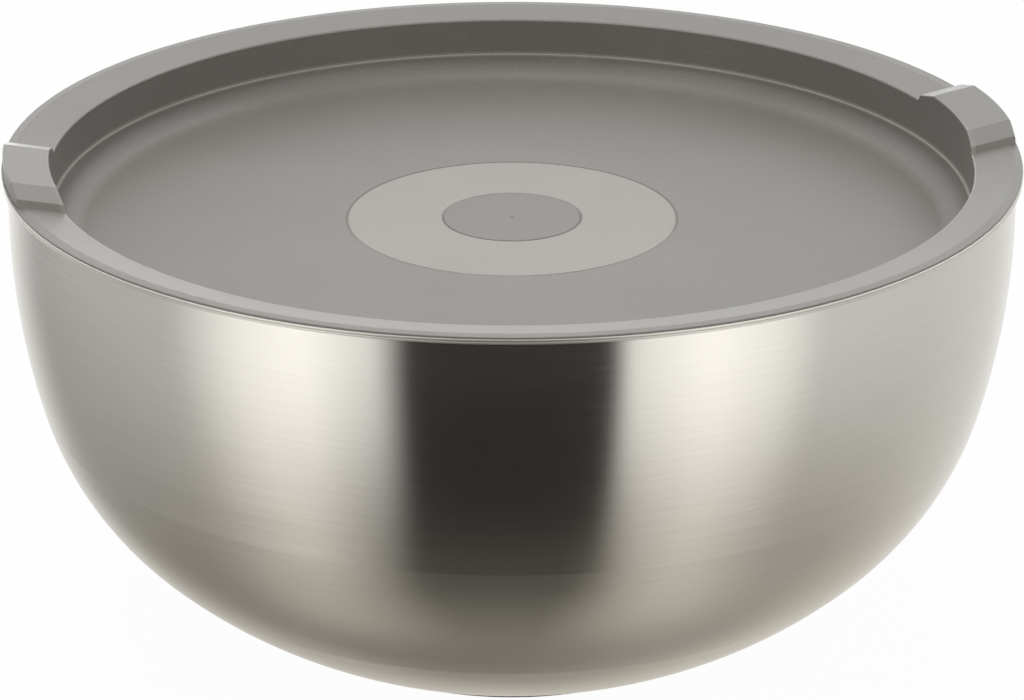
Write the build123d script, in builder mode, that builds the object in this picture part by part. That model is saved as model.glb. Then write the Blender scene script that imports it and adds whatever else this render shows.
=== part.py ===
"""Double-walled stainless steel bowl with a moulded drop-in lid.

The bowl is two deep-drawn shells with air between them, on a low non-slip foot ring. Both
shells are turned out at the top, and their two flanges lie on each other as the rim. The lid
is one moulding that rests on the rim and drops into the mouth.
Millimetres, +Z up, origin on the bowl's axis at the underside of the foot ring. The lid's
two grip tabs lie on the X axis.
"""

from math import cos, radians, sin, tan
from build123d import *
import os

# Bowl: rim and outer shell, from the rim down
rim_diameter = 277.8
rim_height = 138.9
rim_lean = 4.2
rim_show = 0.2
rim_bend = 0.5
rim_fold_gap = 0.1
side_radius = 199.4
side_sweep = 18.8
shoulder_radius = 86.3
shoulder_sweep = 30.7
sheet = 0.7

# Bowl: inner shell
wall_gap = 5.6
base_gap = 7.5
seat_angle = 25.0
lip_radius = 2.0

# Bowl: foot and vent
foot_diameter = 125.2
foot_ring_width = 9.0
foot_ring_height = 1.7
foot_edge_round = 0.3
base_margin = 0.4
base_cap_thickness = 0.8
base_cap_gap = 0.3
vent_diameter = 6.0
vent_clearance = 0.1
plug_head_diameter = 11.0
plug_head_height = 1.2

# Lid: ring, recess and plug
lid_edge_height = 0.5
rest_width = 1.96
seat_clearance = 0.3
ring_fall = 2.0
ring_round = 0.6
ring_crown = 4.0
plug_clearance = 2.2
lid_wall = 2.0
ledge_depth = 13.0
ledge_width = 0.6
ledge_round = 0.3
cove_radius = 7.4

# Lid: circles in the middle of the floor
outer_circle_diameter = 92.4
inner_circle_diameter = 38.9
groove_width = 0.8
groove_depth = 0.35
gate_diameter = 1.2
gate_height = 0.1

# Lid: grip tabs
tab_height = 4.1
tab_top_length = 31.6
tab_ramp_length = 8.0
tab_toe_height = 2.2
tab_toe_run = 1.2
tab_fall = 2.6
tab_round = 0.5
tab_outer_inset = 0.5
tab_core_length = 24.0
tab_core_margin = 3.0
tab_run_out = 3.0

# Lid: seal and the two ribs that hold it
seal_height = 3.6
seal_body = 1.1
seal_lip_height = 1.0
seal_clearance = 0.3
rib_height = 1.2
rib_reach = 1.0

# Radii and heights that follow from the sizes above
rim_radius = rim_diameter / 2
wall_thickness = 2 * sheet + wall_gap
mouth_radius = rim_radius - wall_thickness
foot_radius = foot_diameter / 2
base_z = foot_ring_height
seat_slope = tan(radians(seat_angle))
inner_floor_z = base_z + 2 * sheet + base_gap
flange_round = 0.4 * sheet
fold_radius = rim_bend + sheet
fold_set = (fold_radius * (1 - cos(radians(seat_angle))) + rim_fold_gap) / sin(radians(seat_angle))
seat_radius = rim_radius + rim_bend - fold_set - sheet * tan(radians(seat_angle / 2))
rest_radius = seat_radius - seat_clearance / sin(radians(seat_angle))
edge_radius = seat_radius + rest_width
flange_radius = edge_radius + rim_show
edge_z = rim_height + lid_edge_height
plug_radius = mouth_radius - plug_clearance
recess_radius = plug_radius - lid_wall
ring_width = edge_radius - recess_radius
ring_inner_z = edge_z - ring_fall
ledge_z = edge_z - ledge_depth
cove_top_radius = recess_radius - ledge_width
cove_top_z = ledge_z - ledge_round
floor_z = cove_top_z - cove_radius
floor_under_z = floor_z - lid_wall
plug_top_z = rim_height - (rest_radius - plug_radius) * seat_slope
plug_foot_z = cove_top_z + ledge_width
seal_mid_z = (plug_top_z + plug_foot_z) / 2
tab_slope = tab_fall / ring_width


os.makedirs("parts", exist_ok=True)


def outer_face_curves():
    """Outer face of the bowl: underside of the rim, bend, three tangent arcs, flat base."""
    rim_under_z = rim_height - 2 * sheet
    rim = Line((flange_radius, rim_under_z), (rim_radius + rim_bend, rim_under_z))
    bend = JernArc(rim @ 1, (-1, 0), rim_bend, 90 + rim_lean)
    side = JernArc(bend @ 1, bend % 1, side_radius, -side_sweep)
    shoulder = JernArc(side @ 1, side % 1, shoulder_radius, -shoulder_sweep)
    belly = TangentArc(shoulder @ 1, (foot_radius + base_margin, base_z), tangent=shoulder % 1)
    Line(belly @ 1, (0, base_z))


def inner_face_curves():
    """Food side of the inner shell: rim, sloping seat, lip, the outer arcs moved in, floor."""
    inset = wall_thickness
    lip_start = mouth_radius + lip_radius * (1 - sin(radians(seat_angle)))
    rim = Line((flange_radius, rim_height), (seat_radius, rim_height))
    seat = Line(rim @ 1, (lip_start, rim_height - (seat_radius - lip_start) * seat_slope))
    lip = JernArc(seat @ 1, seat % 1, lip_radius, 90 + rim_lean - seat_angle)
    side = JernArc(lip @ 1, lip % 1, side_radius - inset, -side_sweep)
    shoulder = JernArc(side @ 1, side % 1, shoulder_radius - inset, -shoulder_sweep)
    turned = radians(side_sweep + shoulder_sweep - rim_lean)
    bottom_radius = ((shoulder @ 1).Y - inner_floor_z) / (1 - sin(turned))
    bottom_sweep = 90 - side_sweep - shoulder_sweep + rim_lean
    bottom = JernArc(shoulder @ 1, shoulder % 1, bottom_radius, -bottom_sweep)
    Line(bottom @ 1, (0, inner_floor_z))


def lid_section_curves():
    """Half section of the lid: floor, cove, ledge, recess wall, ring, plug and underside."""
    floor = Line((0, floor_z), (cove_top_radius - cove_radius, floor_z))
    cove = JernArc(floor @ 1, (1, 0), cove_radius, 90)
    ledge_edge = JernArc(cove @ 1, (0, 1), ledge_round, -90)
    ledge = Line(ledge_edge @ 1, (recess_radius, ledge_z))
    wall = Line(ledge @ 1, (recess_radius, ring_inner_z))
    ring = Line(wall @ 1, (rest_radius, edge_z))
    margin = Line(ring @ 1, (edge_radius, edge_z))
    edge = Line(margin @ 1, (edge_radius, rim_height))
    rest = Line(edge @ 1, (rest_radius, rim_height))
    seat = Line(rest @ 1, (plug_radius, plug_top_z))
    plug = Line(seat @ 1, (plug_radius, plug_foot_z))
    taper = Line(plug @ 1, (cove_top_radius + lid_wall, cove_top_z))
    cove_under = JernArc(taper @ 1, (0, -1), cove_radius + lid_wall, -90)
    under = Line(cove_under @ 1, (0, floor_under_z))
    Line(under @ 1, floor @ 0)


def tab_profile_points():
    """Corners of a grip tab seen along the radius, with the ring's top face at height 0."""
    top = tab_top_length / 2
    ramp_foot = top + tab_ramp_length
    base = ramp_foot + tab_toe_run
    sunk = -(lid_wall + tab_height)
    right = [(base, 0), (ramp_foot, tab_toe_height), (top, tab_height)]
    left = [(-y, z) for y, z in reversed(right)]
    return [(-base, sunk), (base, sunk)] + right + left


def flange_edges(shell):
    """The two edges round the outside of a shell's flange."""
    circles = shell.edges().filter_by(GeomType.CIRCLE)
    return circles.filter_by(lambda e: e.radius > flange_radius - sheet / 10)


# Outer shell: one drawn sheet with its top turned out, and the vent hole in its base
with BuildPart() as outer_shell:
    with BuildSketch(Plane.XZ):
        with BuildLine():
            outer_face_curves()
            offset(amount=sheet, side=Side.RIGHT, closed=True)
        make_face()
    revolve(axis=Axis.Z)
    fillet(flange_edges(outer_shell), flange_round)
    Hole(vent_diameter / 2)
outer_shell.part.label = "outer_shell"
export_step(outer_shell.part, "parts/outer_shell.step")


# Inner shell: one drawn sheet whose top turns out over the outer shell's flange as the rim
with BuildPart() as inner_shell:
    with BuildSketch(Plane.XZ):
        with BuildLine():
            inner_face_curves()
            offset(amount=sheet, side=Side.LEFT, closed=True)
        make_face()
    revolve(axis=Axis.Z)
    fillet(flange_edges(inner_shell), flange_round)
inner_shell.part.label = "inner_shell"
export_step(inner_shell.part, "parts/inner_shell.step")


# Foot ring: flat ring under the edge of the base, which the bowl stands on
with BuildPart() as foot_ring:
    with BuildSketch():
        Circle(foot_radius)
        Circle(foot_radius - foot_ring_width, mode=Mode.SUBTRACT)
    extrude(amount=foot_ring_height)
    fillet(foot_ring.edges().group_by(Axis.Z)[0], foot_edge_round)
foot_ring.part.label = "foot_ring"
export_step(foot_ring.part, "parts/foot_ring.step")


# Base cap: thin pressed disc inside the foot ring, held to the shell's base
with BuildPart() as base_cap:
    with BuildSketch(Plane.XY.offset(base_z)):
        Circle(foot_radius - foot_ring_width - base_cap_gap)
    extrude(amount=-base_cap_thickness)
    fillet(base_cap.edges().group_by(Axis.Z)[0], base_cap_thickness / 2)
base_cap.part.label = "base_cap"
export_step(base_cap.part, "parts/base_cap.step")


# Vent plug: stem in the vent hole, with its head on the inside of the outer shell's base
with BuildPart() as vent_plug:
    with BuildSketch(Plane.XY.offset(base_z)):
        Circle(vent_diameter / 2 - vent_clearance)
    extrude(amount=sheet)
    with BuildSketch(Plane.XY.offset(base_z + sheet)):
        Circle(plug_head_diameter / 2)
    extrude(amount=plug_head_height)
    chamfer(vent_plug.edges().group_by(Axis.Z)[-1], plug_head_height / 2)
vent_plug.part.label = "vent_plug"
export_step(vent_plug.part, "parts/vent_plug.step")


def tab_reach_points():
    """Half section that the grip tabs stay in: its lower edge runs inside the ring."""
    outer = edge_radius - tab_outer_inset
    mid_edge_z = rim_height + lid_edge_height / 2
    top_z = edge_z + 2 * tab_height
    foot_z = ring_inner_z - ring_round - lid_wall / 4
    foot = [(recess_radius, foot_z), (rest_radius, mid_edge_z), (outer, mid_edge_z)]
    return foot + [(outer, top_z), (recess_radius, top_z)]


def height_over_slope(point):
    """How far a point on a grip tab lies over the level of the tab's own slope."""
    return point.Z - ring_inner_z - tab_slope * (abs(point.X) - recess_radius)


# Grip tabs: two ramped pads on the X axis, rising outward a little more than the ring
with BuildPart() as tabs:
    tab_start = recess_radius - tab_run_out
    tab_plane = Plane((tab_start, 0, ring_inner_z - tab_slope * tab_run_out), (0, 1, 0), (1, 0, 0))
    with BuildSketch(tab_plane):
        Polygon(*tab_profile_points(), align=None)
    extrude(amount=ring_width + 2 * tab_run_out, dir=(1, 0, tab_slope))
    mirror(about=Plane.YZ)
    with BuildSketch(Plane.XZ):
        Polygon(*tab_reach_points(), align=None)
    revolve(axis=Axis.Z, mode=Mode.INTERSECT)
    fillet(tabs.edges().filter_by(lambda e: height_over_slope(e @ 0.5) > tab_height / 3), tab_round)


# Lid: one moulding that drops into the mouth and rests on the rim with its thin edge
with BuildPart() as lid:
    with BuildSketch(Plane.XZ):
        with BuildLine():
            lid_section_curves()
        make_face()
    revolve(axis=Axis.Z)
    circles = lid.edges().filter_by(GeomType.CIRCLE)
    margin_edges = circles.group_by(Axis.Z)[-1].sort_by(SortBy.RADIUS)
    fillet(margin_edges[-1], lid_edge_height / 2)
    fillet(margin_edges[0], ring_crown)
    ring_corner = circles.filter_by(lambda e: abs(e.center().Z - ring_inner_z) < ring_round / 10)
    fillet(ring_corner, ring_round)
    add(tabs.part)
    with BuildSketch(Plane.XZ):
        for side in (-1, 1):
            rib_z = seal_mid_z + side * (seal_height + rib_height) / 2
            with Locations((plug_radius - lid_wall / 2, rib_z)):
                Rectangle(lid_wall / 2 + rib_reach, rib_height, align=(Align.MIN, Align.CENTER))
    revolve(axis=Axis.Z)
    with BuildSketch(Plane.XZ):
        for diameter in (inner_circle_diameter, outer_circle_diameter):
            with Locations((diameter / 2, floor_z)):
                Polygon((-groove_width / 2, 0), (0, -groove_depth), (groove_width / 2, 0), align=None)
    revolve(axis=Axis.Z, mode=Mode.SUBTRACT)
    with BuildSketch(Plane.XY.offset(floor_z)):
        Circle(gate_diameter / 2)
    extrude(amount=gate_height)
    core_reach = edge_radius - tab_core_margin
    with BuildSketch(Plane.XY.offset(plug_top_z)):
        Rectangle(2 * core_reach, tab_core_length)
        Rectangle(2 * (plug_radius + tab_core_margin / 2), tab_core_length, mode=Mode.SUBTRACT)
    extrude(amount=ring_inner_z + tab_height - lid_wall - plug_top_z, mode=Mode.SUBTRACT)
lid.part.label = "lid"
export_step(lid.part, "parts/lid.step")


# Lid seal: flexible ring between the plug's two ribs, with one lip towards the inner shell
with BuildPart() as lid_seal:
    with BuildSketch(Plane.XZ):
        with Locations((plug_radius, seal_mid_z)):
            Rectangle(seal_body, seal_height, align=(Align.MIN, Align.CENTER))
            lip_length = mouth_radius - seal_clearance - plug_radius
            Rectangle(lip_length, seal_lip_height, align=(Align.MIN, Align.CENTER))
    revolve(axis=Axis.Z)
lid_seal.part.label = "lid_seal"
export_step(lid_seal.part, "parts/lid_seal.step")
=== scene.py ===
from math import cos, radians, sin

import bpy
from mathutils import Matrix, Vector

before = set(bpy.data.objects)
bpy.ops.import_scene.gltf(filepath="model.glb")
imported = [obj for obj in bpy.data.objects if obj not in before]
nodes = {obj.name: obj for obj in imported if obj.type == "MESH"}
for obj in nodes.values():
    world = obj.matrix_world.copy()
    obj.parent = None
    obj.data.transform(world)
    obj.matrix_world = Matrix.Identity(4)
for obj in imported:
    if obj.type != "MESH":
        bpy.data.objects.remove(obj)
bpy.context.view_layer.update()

# Where the camera stands: it looks this far round from the Y axis, and this far down
HEADING = radians(10.83)
PITCH = radians(22.39)
CAMERA_DISTANCE = 0.9002
CAMERA_HEIGHT = 0.4491
LENS = 120.17

# Sizes that the materials follow, in metres
LID_FLOOR_Z = 0.1187
FLOOR_MARGIN = 0.0006
INNER_CIRCLE = 0.01945
OUTER_CIRCLE = 0.0462
RIM_EDGE = 0.1397
RIM_BLEND = 0.0003
MOUTH_RADIUS = 0.1281
MOUTH_BOTTOM = 0.1355
LEDGE_Z = 0.1264
LEDGE_RADIUS = 0.1266

# The lid's tones: its body, the area between the two circles, and inside the inner one
LID_TONE = 0.192
OUTER_TONE = 0.305
INNER_TONE = 0.172
LID_WARM = 0.06

# Brush lines on the steel, per metre across and along them: fine ones and coarse ones
FINE_BRUSH = (5200.0, 40.0)
COARSE_BRUSH = (700.0, 14.0)
RIM_ROUGHNESS = 0.45

# Light that reaches matt surfaces from all round, and how white the floor and backdrop are
SOFT_LEVEL = 0.4
FLOOR_TONE = 0.93
FLOOR_WHITE = 0.97
LAMP_AIM = (0, 0, 0.1)


# ---- small helpers for node trees ----

class Tree:
    """A node tree with short calls for adding nodes and joining them."""

    def __init__(self, tree):
        tree.nodes.clear()
        self.tree = tree

    def node(self, kind, **settings):
        n = self.tree.nodes.new(kind)
        for key, value in settings.items():
            setattr(n, key, value)
        return n

    def put(self, value, socket):
        """Sets a socket to a number or colour, or joins an output to it."""
        if isinstance(value, bpy.types.NodeSocket):
            self.tree.links.new(value, socket)
        else:
            socket.default_value = value

    def math(self, operation, *values, clamp=False):
        n = self.node("ShaderNodeMath", operation=operation, use_clamp=clamp)
        for socket, value in zip(n.inputs, values):
            self.put(value, socket)
        return n.outputs[0]

    def vector(self, operation, *values):
        n = self.node("ShaderNodeVectorMath", operation=operation)
        for socket, value in zip(n.inputs, values):
            self.put(value, socket)
        return n.outputs["Value" if operation in ("LENGTH", "DOT_PRODUCT") else "Vector"]

    def xyz(self, vector):
        n = self.node("ShaderNodeSeparateXYZ")
        self.put(vector, n.inputs[0])
        return n.outputs[0], n.outputs[1], n.outputs[2]

    def join(self, x, y, z):
        n = self.node("ShaderNodeCombineXYZ")
        for socket, value in zip(n.inputs, (x, y, z)):
            self.put(value, socket)
        return n.outputs[0]

    def noise(self, vector, scale, detail=2.0, roughness=0.5):
        n = self.node("ShaderNodeTexNoise")
        self.put(vector, n.inputs["Vector"])
        n.inputs["Scale"].default_value = scale
        n.inputs["Detail"].default_value = detail
        n.inputs["Roughness"].default_value = roughness
        return n.outputs[0]

    def spread(self, value, low, high, to_low=0.0, to_high=1.0, smooth=False):
        """Maps low..high to to_low..to_high, held at both ends."""
        n = self.node("ShaderNodeMapRange", clamp=True)
        if smooth:
            n.interpolation_type = "SMOOTHSTEP"
        for name, v in (("Value", value), ("From Min", low), ("From Max", high),
                        ("To Min", to_low), ("To Max", to_high)):
            self.put(v, n.inputs[name])
        return n.outputs[0]

    def mix(self, factor, a, b):
        n = self.node("ShaderNodeMix", data_type="RGBA")
        for socket, value in ((n.inputs[0], factor), (n.inputs[6], a), (n.inputs[7], b)):
            self.put(value, socket)
        return n.outputs[2]

    def ramp(self, factor, stops, warm=0.0):
        """A ramp of one tint: stops are (place, level) pairs."""
        n = self.node("ShaderNodeValToRGB")
        self.put(factor, n.inputs[0])
        elements = n.color_ramp.elements
        while len(elements) < len(stops):
            elements.new(0.5)
        for element, (place, level) in zip(elements, stops):
            element.position = place
            element.color = grey(level, warm)
        return n.outputs[0]

    def bump(self, height, distance, strength):
        n = self.node("ShaderNodeBump")
        n.inputs["Strength"].default_value = strength
        n.inputs["Distance"].default_value = distance
        self.put(height, n.inputs["Height"])
        return n.outputs[0]


def grey(level, warm=0.03):
    """A slightly warm grey, as linear colour."""
    return (level * (1 + 0.75 * warm), level, level * (1 - 1.6 * warm), 1)


def material(name):
    """A new material: itself, its tree and its shader."""
    m = bpy.data.materials.new(name)
    m.use_nodes = True
    t = Tree(m.node_tree)
    out = t.node("ShaderNodeOutputMaterial")
    shader = t.node("ShaderNodeBsdfPrincipled")
    t.put(shader.outputs[0], out.inputs[0])
    return m, t, shader


def object_place(t):
    """The point on the object: its vector, distance from the axis, and height."""
    place = t.node("ShaderNodeTexCoord").outputs["Object"]
    x, y, z = t.xyz(place)
    radius = t.vector("LENGTH", t.join(x, y, 0.0))
    return place, x, y, z, radius


def brush_lines(t, x, y, over, scales):
    """Noise stretched around the axis; over is the way across the lines."""
    across, along = scales
    stretched = t.join(t.math("MULTIPLY", x, along), t.math("MULTIPLY", y, along),
                       t.math("MULTIPLY", over, across))
    return t.noise(stretched, 1.0, 2.0, 0.6)


def brushed_steel(name, level, roughness, anisotropy, warm=0.035):
    """Steel sheet brushed around the axis: fine lines, slightly uneven along and across, and
    the flanges of the rim duller than the walls."""
    m, t, shader = material(name)
    place, x, y, z, radius = object_place(t)
    fine = brush_lines(t, x, y, t.math("ADD", z, radius), FINE_BRUSH)
    coarse = brush_lines(t, x, y, t.math("ADD", z, radius), COARSE_BRUSH)
    patches = t.noise(place, 22.0, 3.0)
    lines = t.math("ADD", t.math("MULTIPLY", fine, 0.75), t.math("MULTIPLY", coarse, 0.25))
    t.put(t.mix(t.spread(lines, 0.3, 0.7), grey(level * 0.965, warm), grey(level * 1.035, warm)),
          shader.inputs["Base Color"])
    uneven = t.math("ADD", t.spread(lines, 0.3, 0.7, -0.015, 0.015),
                    t.spread(patches, 0.3, 0.7, -0.01, 0.01))
    dull = t.spread(radius, RIM_EDGE, RIM_EDGE + RIM_BLEND, roughness, RIM_ROUGHNESS)
    t.put(t.math("ADD", uneven, dull), shader.inputs["Roughness"])
    t.put(t.bump(fine, 0.000004, 0.2), shader.inputs["Normal"])
    shader.inputs["Metallic"].default_value = 1.0
    shader.inputs["Anisotropic"].default_value = anisotropy
    shader.inputs["Anisotropic Rotation"].default_value = 0.25
    tangent = t.node("ShaderNodeTangent", direction_type="RADIAL", axis="Z")
    t.put(tangent.outputs[0], shader.inputs["Tangent"])
    return m


def painted_edge_highlight(t, z, radius):
    """Painted highlight: how much lighter and smoother the lid is drawn, as bright lines painted
    into its colour: a little on the round at the mouth of the recess, and more on the ledge of
    its wall, painted as a bright line."""
    upright = t.xyz(t.node("ShaderNodeTexCoord").outputs["Normal"])[2]
    rounded = t.math("MULTIPLY", t.spread(upright, 0.2, 0.4), t.spread(upright, 0.965, 0.94))
    apart = t.math("ABSOLUTE", t.math("SUBTRACT", radius, MOUTH_RADIUS))
    mouth = t.math("MULTIPLY", t.spread(apart, 0.0010, 0.0007),
                   t.spread(z, MOUTH_BOTTOM, MOUTH_BOTTOM + 0.0003))
    above = t.math("ABSOLUTE", t.math("SUBTRACT", z, LEDGE_Z))
    ledge = t.math("MULTIPLY", t.spread(above, 0.0008, 0.0004),
                   t.spread(radius, LEDGE_RADIUS, LEDGE_RADIUS + 0.0002))
    # painted highlight strength: 0.4 of full on the mouth round, 0.7 on the ledge
    mouth = t.math("MULTIPLY", t.math("MULTIPLY", mouth, rounded), 0.4)
    return t.math("MAXIMUM", mouth, t.math("MULTIPLY", ledge, 0.7))


def lid_plastic():
    """Grey moulding with a fine grain, other tones inside the two circles on its floor, and
    painted highlight lines on the mouth round and the ledge.
    """
    m, t, shader = material("lid_plastic")
    place, _, _, z, radius = object_place(t)
    edge_highlight = painted_edge_highlight(t, z, radius)
    on_floor = t.math("LESS_THAN", z, LID_FLOOR_Z + FLOOR_MARGIN)
    in_outer = t.math("MULTIPLY", t.math("LESS_THAN", radius, OUTER_CIRCLE), on_floor)
    in_inner = t.math("MULTIPLY", t.math("LESS_THAN", radius, INNER_CIRCLE), on_floor)
    cloud = t.spread(t.noise(place, 28.0, 3.0), 0.3, 0.7, 0.965, 1.035)
    speck = t.spread(t.noise(place, 1300.0, 2.0), 0.3, 0.7, 0.93, 1.07)
    tone = t.mix(in_outer, grey(LID_TONE, LID_WARM), grey(OUTER_TONE, LID_WARM))
    tone = t.mix(in_inner, tone, grey(INNER_TONE, LID_WARM))
    scale = t.math("MULTIPLY", cloud, speck)
    # painted highlight: the colour is up to 1.8 times lighter on the mouth round and the ledge
    scale = t.math("MULTIPLY", scale, t.spread(edge_highlight, 0.0, 1.0, 1.0, 1.8))
    t.put(t.vector("MULTIPLY", tone, t.join(scale, scale, scale)), shader.inputs["Base Color"])
    rough = t.math("ADD", t.math("MULTIPLY", in_outer, -0.03),
                   t.spread(speck, 0.93, 1.07, 0.36, 0.42))
    t.put(t.math("SUBTRACT", rough, t.math("MULTIPLY", edge_highlight, 0.12)), shader.inputs["Roughness"])
    depth = t.math("SUBTRACT", 1.0, t.math("MULTIPLY", in_outer, 0.6))
    grain = t.math("MULTIPLY", t.noise(place, 1800.0, 2.0), depth)
    t.put(t.bump(grain, 0.00003, 0.3), shader.inputs["Normal"])
    return m


def rubber(name, level, roughness):
    """A matt moulding with slightly uneven patches and a fine grain."""
    m, t, shader = material(name)
    place = t.node("ShaderNodeTexCoord").outputs["Object"]
    patch = t.spread(t.noise(place, 90.0, 3.0), 0.3, 0.7)
    tone = t.mix(patch, grey(level * 0.9, 0.01), grey(level * 1.12, 0.01))
    t.put(tone, shader.inputs["Base Color"])
    rough = t.spread(patch, 0.0, 1.0, roughness - 0.05, roughness + 0.05)
    t.put(rough, shader.inputs["Roughness"])
    t.put(t.bump(t.noise(place, 2500.0, 2.0), 0.00004, 0.4), shader.inputs["Normal"])
    return m


def dress(node, mat):
    """Gives a CAD node its only material."""
    slots = nodes[node].data.materials
    slots.clear()
    slots.append(mat)


dress("outer_shell", brushed_steel("steel_outer", 0.62, 0.2, 0.95))
dress("inner_shell", brushed_steel("steel_inner", 0.64, 0.27, 0.75))
dress("base_cap", brushed_steel("steel_base", 0.60, 0.30, 0.6))
dress("foot_ring", rubber("rubber_foot", 0.035, 0.62))
dress("vent_plug", rubber("rubber_plug", 0.06, 0.6))
dress("lid", lid_plastic())
dress("lid_seal", rubber("silicone_seal", 0.42, 0.5))


# ---- studio ----

def floor_material():
    """Matt paper that holds the shadow, shown nearly white to the camera."""
    m = bpy.data.materials.new("floor")
    m.use_nodes = True
    t = Tree(m.node_tree)
    out = t.node("ShaderNodeOutputMaterial")
    paper = t.node("ShaderNodeBsdfDiffuse")
    paper.inputs["Color"].default_value = (FLOOR_TONE, FLOOR_TONE, FLOOR_TONE, 1)
    white = t.node("ShaderNodeEmission")
    ray = t.node("ShaderNodeLightPath")
    seen = t.math("MAXIMUM", ray.outputs["Is Camera Ray"], ray.outputs["Is Transmission Ray"])
    both = t.node("ShaderNodeMixShader")
    t.put(t.math("MULTIPLY", seen, FLOOR_WHITE), both.inputs[0])
    t.put(paper.outputs[0], both.inputs[1])
    t.put(white.outputs[0], both.inputs[2])
    t.put(both.outputs[0], out.inputs[0])
    return m


def add_floor(half=3.0):
    """A plain square floor, a stage piece that metal doesn't mirror."""
    mesh = bpy.data.meshes.new("floor")
    corners = [(-half, -half, 0), (half, -half, 0), (half, half, 0), (-half, half, 0)]
    mesh.from_pydata(corners, [], [(0, 1, 2, 3)])
    mesh.materials.append(floor_material())
    floor = bpy.data.objects.new("floor", mesh)
    bpy.context.scene.collection.objects.link(floor)
    floor.visible_glossy = False


# The light tent that metal and gloss see, as (degrees, level) pairs: 0 degrees is where the
# camera stands, positive is to its right, and 180 is behind the object.
# Walls a little below eye level, with the dark gap in the middle:
HIGH_WALL = ((-180, 1.1), (-155, 0.9), (-134, 0.44), (-112, 0.56), (-80, 0.7), (-62, 1.4),
             (-47, 1.65), (-30, 1.15), (-23, 0.02), (22, 0.02), (26, 1.25), (44, 1.65),
             (60, 1.35), (72, 0.86), (105, 0.8), (140, 0.86), (180, 1.1))
# Lower down:
LOW_WALL = ((-180, 0.85), (-158, 0.6), (-140, 0.32), (-112, 0.28), (-86, 0.36), (-58, 0.75),
            (-45, 0.44), (-32, 0.1), (-27, 0.02), (22, 0.02), (35, 0.52), (50, 0.72),
            (74, 0.38), (100, 0.4), (145, 0.65), (180, 0.85))
# Near the ground:
GROUND = ((-180, 0.24), (-138, 0.2), (-89, 0.6), (-49, 0.36), (-31, 0.16), (18, 0.16),
          (51, 0.6), (70, 0.7), (115, 0.4), (180, 0.24))
# The horizon behind the object, bright towards the left:
HORIZON = ((-180, 3.4), (-170, 3.8), (-155, 3.4), (-138, 1.6), (-110, 1.2), (-70, 0.9),
           (70, 0.8), (110, 0.9), (150, 0.8), (168, 0.8), (175, 1.8), (180, 3.4))
# How the sky above that horizon falls off to the sides:
SKY_SIDES = ((-180, 0.93), (-170, 0.78), (-158, 0.66), (-110, 0.65), (110, 0.8), (160, 0.88),
             (180, 0.93))
# The sky by height, from the horizon (0) to straight up (1):
SKY_HEIGHTS = ((0.0, 1.45), (0.27, 1.45), (0.42, 2.3), (0.54, 3.0), (0.66, 0.9), (1.0, 0.7))
STRAIGHT_DOWN = 0.3
ABOVE_CAMERA = 0.9


def wall_ramp(t, around, pairs, warm=0.0):
    """A ramp round the object from (degrees, level) pairs."""
    stops = [(degrees / 360 + 0.5, level) for degrees, level in pairs]
    return t.ramp(around, stops, warm)


def step_up(t, up, low, high):
    """0 below one height and 1 above another, both in degrees over the horizon."""
    return t.spread(up, radians(low), radians(high), smooth=True)


def lower_tent(t, around, up):
    """The tent below the horizon, from its walls down to the ground."""
    high = wall_ramp(t, around, HIGH_WALL, 0.012)
    low = wall_ramp(t, around, LOW_WALL, 0.075)
    ground = wall_ramp(t, around, GROUND, 0.08)
    tent = t.mix(step_up(t, up, -50, -18), low, high)
    tent = t.mix(step_up(t, up, -66, -46), ground, tent)
    return t.mix(step_up(t, up, -90, -64), grey(STRAIGHT_DOWN, 0.08), tent)


def sky_behind(t, around, up):
    """The horizon and the sky behind the object."""
    sky = t.ramp(t.math("DIVIDE", up, radians(90)), SKY_HEIGHTS)
    sky = t.vector("MULTIPLY", sky, wall_ramp(t, around, SKY_SIDES))
    return t.mix(step_up(t, up, 3, 14), wall_ramp(t, around, HORIZON), sky)


def light_tent(t, around, up):
    """The whole tent: its lower part, the sky behind, and a light patch over the camera."""
    aside = t.math("ABSOLUTE", t.math("SUBTRACT", around, 0.5))
    behind = t.spread(aside, 75 / 360, 115 / 360, smooth=True)
    front = t.spread(aside, 40 / 360, 20 / 360, smooth=True)
    back_part = t.math("MULTIPLY", step_up(t, up, -16, -4), behind)
    tent = t.mix(back_part, lower_tent(t, around, up), sky_behind(t, around, up))
    front_part = t.math("MULTIPLY", step_up(t, up, -2, 28), front)
    return t.mix(front_part, tent, grey(ABOVE_CAMERA))


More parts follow.
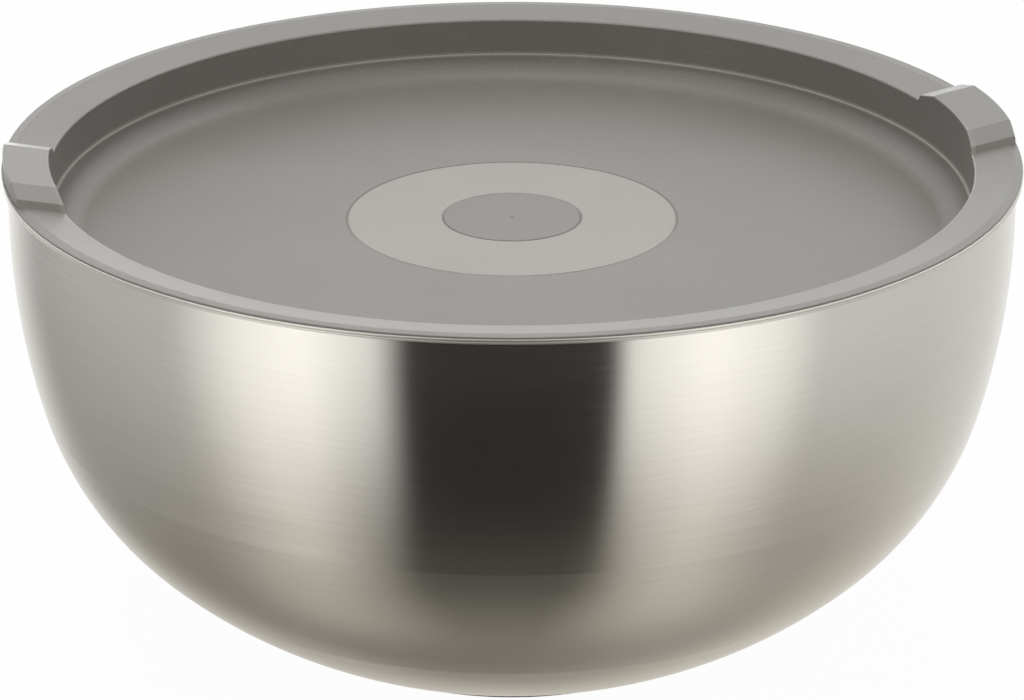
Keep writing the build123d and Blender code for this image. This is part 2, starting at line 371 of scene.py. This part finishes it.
def studio_world():
    """White behind the object, an even soft light on matt surfaces, and the light tent for
    gloss."""
    world = bpy.data.worlds.new("studio")
    bpy.context.scene.world = world
    world.use_nodes = True
    t = Tree(world.node_tree)
    out = t.node("ShaderNodeOutputWorld")
    turn = t.node("ShaderNodeMapping", vector_type="VECTOR")
    turn.inputs["Rotation"].default_value = (0, 0, HEADING)
    t.put(t.node("ShaderNodeTexCoord").outputs["Generated"], turn.inputs[0])
    x, y, z = t.xyz(turn.outputs[0])
    angle = t.math("ARCTAN2", x, t.math("MULTIPLY", y, -1.0))
    around = t.math("ADD", t.math("DIVIDE", angle, radians(360)), 0.5)
    tent = light_tent(t, around, t.math("ARCSINE", z))
    ray = t.node("ShaderNodeLightPath")
    soft = t.mix(ray.outputs["Is Glossy Ray"], grey(SOFT_LEVEL, 0.0), tent)
    seen = t.math("MAXIMUM", ray.outputs["Is Camera Ray"], ray.outputs["Is Transmission Ray"])
    shown = t.mix(seen, soft, (1, 1, 1, 1))
    background = t.node("ShaderNodeBackground")
    t.put(shown, background.inputs[0])
    t.put(background.outputs[0], out.inputs[0])


def add_softbox(name, place, size, power):
    """A square lamp aimed at the middle of the object, which gloss doesn't mirror."""
    light = bpy.data.lights.new(name, "AREA")
    light.shape = "RECTANGLE"
    light.size = size
    light.size_y = size
    light.energy = power
    lamp = bpy.data.objects.new(name, light)
    bpy.context.scene.collection.objects.link(lamp)
    lamp.location = place
    way = Vector(LAMP_AIM) - Vector(place)
    lamp.rotation_euler = way.to_track_quat("-Z", "Y").to_euler()
    lamp.visible_glossy = False


def add_camera():
    """The camera of the photo."""
    data = bpy.data.cameras.new("camera")
    data.lens = LENS
    data.sensor_width = 36.0
    data.clip_start = 0.05
    camera = bpy.data.objects.new("camera", data)
    bpy.context.scene.collection.objects.link(camera)
    camera.location = (-sin(HEADING) * CAMERA_DISTANCE, -cos(HEADING) * CAMERA_DISTANCE,
                       CAMERA_HEIGHT)
    camera.rotation_euler = (radians(90) - PITCH, 0, -HEADING)
    bpy.context.scene.camera = camera


add_floor()
studio_world()
add_softbox("softbox_top", (-0.12, 0.05, 1.3), 0.8, 8.2)
add_softbox("softbox_front", (0.2, -1.3, 0.9), 0.8, 2.2)
add_camera()

bpy.context.scene.view_settings.view_transform = "Standard"
